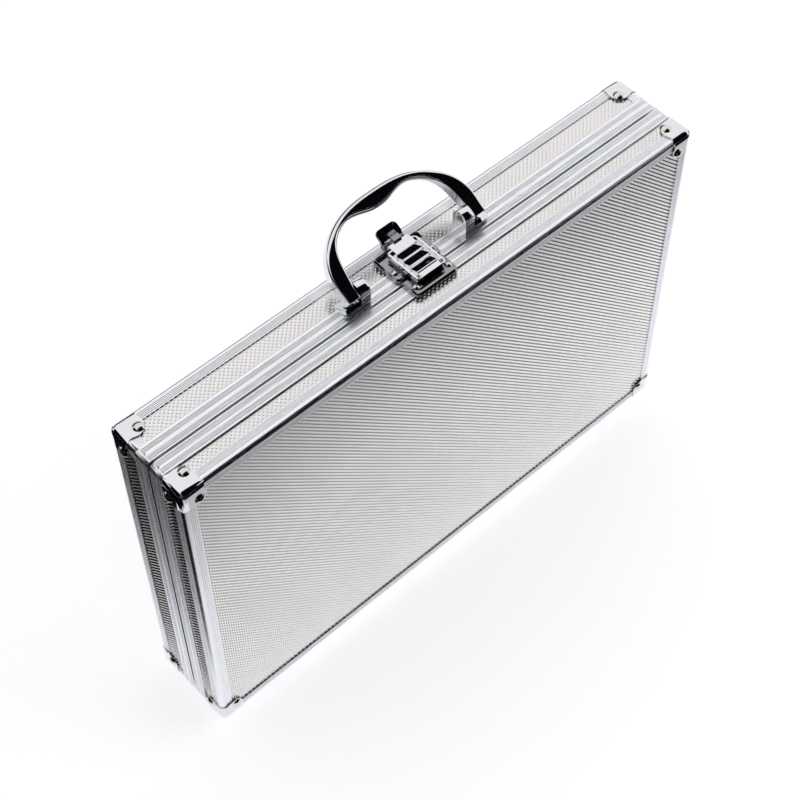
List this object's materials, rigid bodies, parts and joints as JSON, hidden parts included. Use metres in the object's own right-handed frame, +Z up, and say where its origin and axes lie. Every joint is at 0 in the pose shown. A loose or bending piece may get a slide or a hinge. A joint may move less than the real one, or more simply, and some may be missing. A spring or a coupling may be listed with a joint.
{
  "type": "poker chip case",
  "caption": "Aluminium-framed carrying case with chip trays, standing on its hinge edge, with a folding bow handle and a hasp latch on top.",
  "frame": {"origin": "on the floor under the middle of the case's bounding box, handle leaning back included", "axes": "+X along the case's length, to the right seen from the lid; +Y towards the base's back; +Z up towards the handle"},
  "size_m": [0.3884, 0.076, 0.2971],
  "materials": {
    "rivet_nickel": "domed nickel-plated rivets",
    "cap_chrome": "bright chrome-plated pressed steel",
    "panel_laminate": "silver embossed diamond-lattice skin on board",
    "frame_aluminium": "satin anodised ribbed extrusion",
    "tray_foam": "black closed-cell foam",
    "pad_foam": "black convoluted foam",
    "hinge_steel": "nickel-plated steel strip",
    "pin_steel": "plain steel pins and screws",
    "foot_rubber": "black rubber",
    "handle_plated": "chrome-plated die casting",
    "spring_steel": "spring steel wire",
    "tab_dark": "dark plated pressed steel",
    "latch_plated": "bright nickel-chrome plated pressing"
  },
  "bodies": {
    "base": {"accessory_tray": "tray_foam", "base_cap_bottom_left": "cap_chrome", "base_cap_bottom_right": "cap_chrome", "base_cap_rivets": "rivet_nickel", "base_cap_top_left": "cap_chrome", "base_cap_top_right": "cap_chrome", "base_closure_frame": "frame_aluminium", "base_corner_posts": "frame_aluminium", "base_hinge_leaf_left": "hinge_steel", "base_hinge_leaf_right": "hinge_steel", "base_hinge_rivets": "pin_steel", "base_latch_plate": "latch_plated", "base_latch_rivets": "rivet_nickel", "base_panel_back": "panel_laminate", "base_panel_bottom": "panel_laminate", "base_panel_left": "panel_laminate", "base_panel_right": "panel_laminate", "base_panel_top": "panel_laminate", "base_rubber_feet": "foot_rubber", "base_trim_bottom": "frame_aluminium", "base_trim_left": "frame_aluminium", "base_trim_right": "frame_aluminium", "base_trim_top": "frame_aluminium", "chip_tray_left": "tray_foam", "chip_tray_right": "tray_foam", "handle_foot_left": "handle_plated", "handle_foot_right": "handle_plated", "handle_pins": "pin_steel", "handle_screws": "pin_steel", "hinge_pin_left": "pin_steel", "hinge_pin_right": "pin_steel", "tab_pin": "pin_steel", "tab_spring": "spring_steel"},
    "lid": {"hasp_pin": "pin_steel", "lid_cap_bottom_left": "cap_chrome", "lid_cap_bottom_right": "cap_chrome", "lid_cap_rivets": "rivet_nickel", "lid_cap_top_left": "cap_chrome", "lid_cap_top_right": "cap_chrome", "lid_closure_frame": "frame_aluminium", "lid_corner_posts": "frame_aluminium", "lid_hinge_leaf_left": "hinge_steel", "lid_hinge_leaf_right": "hinge_steel", "lid_hinge_rivets": "pin_steel", "lid_latch_plate": "latch_plated", "lid_latch_rivets": "rivet_nickel", "lid_pad": "pad_foam", "lid_panel_bottom": "panel_laminate", "lid_panel_front": "panel_laminate", "lid_panel_left": "panel_laminate", "lid_panel_right": "panel_laminate", "lid_panel_top": "panel_laminate", "lid_rubber_feet": "foot_rubber", "lid_trim_bottom": "frame_aluminium", "lid_trim_left": "frame_aluminium", "lid_trim_right": "frame_aluminium", "lid_trim_top": "frame_aluminium"},
    "handle": {"handle_bow": "handle_plated"},
    "hasp": {"hasp": "latch_plated"},
    "latch_tab": {"latch_tab": "tab_dark"}
  },
  "joints": [
    {"name": "lid_hinge", "type": "hinge", "parent": "base", "child": "lid", "pos_m": [0, -0.00862, 0.0054], "axis": [1, 0, 0], "range_deg": [0, 95]},
    {"name": "handle_swing", "type": "hinge", "parent": "base", "child": "handle", "pos_m": [0, -0.00007, 0.2727], "axis": [1, 0, 0], "range_deg": [0, 115]},
    {"name": "hasp_hinge", "type": "hinge", "parent": "lid", "child": "hasp", "pos_m": [0, -0.01397, 0.2696], "axis": [1, 0, 0], "range_deg": [0, 88]},
    {"name": "latch_tab", "type": "hinge", "parent": "base", "child": "latch_tab", "pos_m": [0, 0.01633, 0.2676], "axis": [-1, 0, 0], "range_deg": [0, 30], "stiffness_Nm_per_rad": 0.05, "springref_deg": -17.19}
  ]
}
